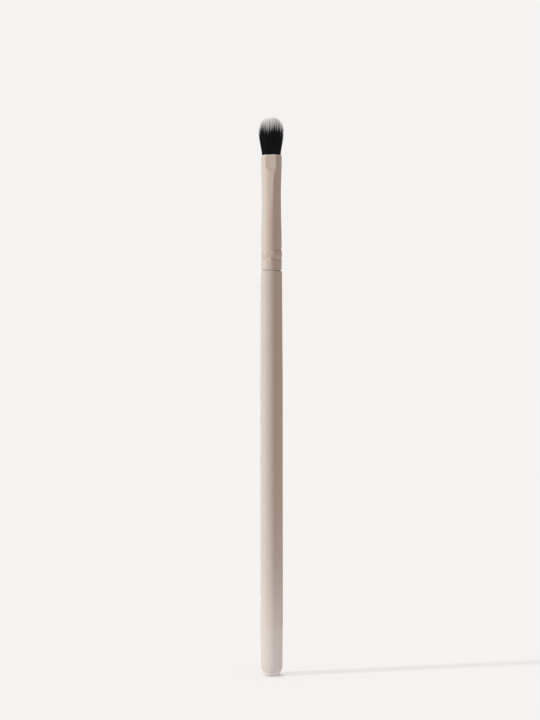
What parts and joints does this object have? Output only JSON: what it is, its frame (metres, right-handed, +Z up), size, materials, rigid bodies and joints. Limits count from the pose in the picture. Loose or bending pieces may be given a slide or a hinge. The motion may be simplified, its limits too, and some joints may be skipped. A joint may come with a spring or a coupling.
{
  "type": "eyeshadow brush",
  "caption": "Slim upright eyeshadow brush: round matte handle, crimped ferrule with a flat-pressed mouth, and a domed oval tuft of dark fibres with pale tips that flexes.",
  "frame": {"origin": "middle of the butt's flat face, on which the brush stands", "axes": "+Z up along the brush towards the tuft's tip, +X the wide way of the tuft, -Y the pictured front"},
  "size_m": [0.0071, 0.0068, 0.17],
  "materials": {
    "handle_lacquer": "matte",
    "ferrule_paint": "matte",
    "adhesive": "gloss",
    "resin": "gloss",
    "thread": "matte",
    "dark_fibre": "satin",
    "pale_fibre": "matte"
  },
  "bodies": {
    "brush": {"handle": "handle_lacquer", "tenon_glue": "adhesive", "ferrule": "ferrule_paint", "resin_plug": "resin", "root_tie": "thread", "tuft_roots": "dark_fibre"},
    "tuft": {"tuft_dark_fibres": "dark_fibre", "tuft_pale_tips": "pale_fibre"}
  },
  "joints": [
    {"name": "tuft_flex", "type": "hinge", "parent": "brush", "child": "tuft", "pos_m": [0, 0, 0.15815], "axis": [1, 0, 0], "range_deg": [-20, 20], "stiffness_Nm_per_rad": 0.0006}
  ]
}
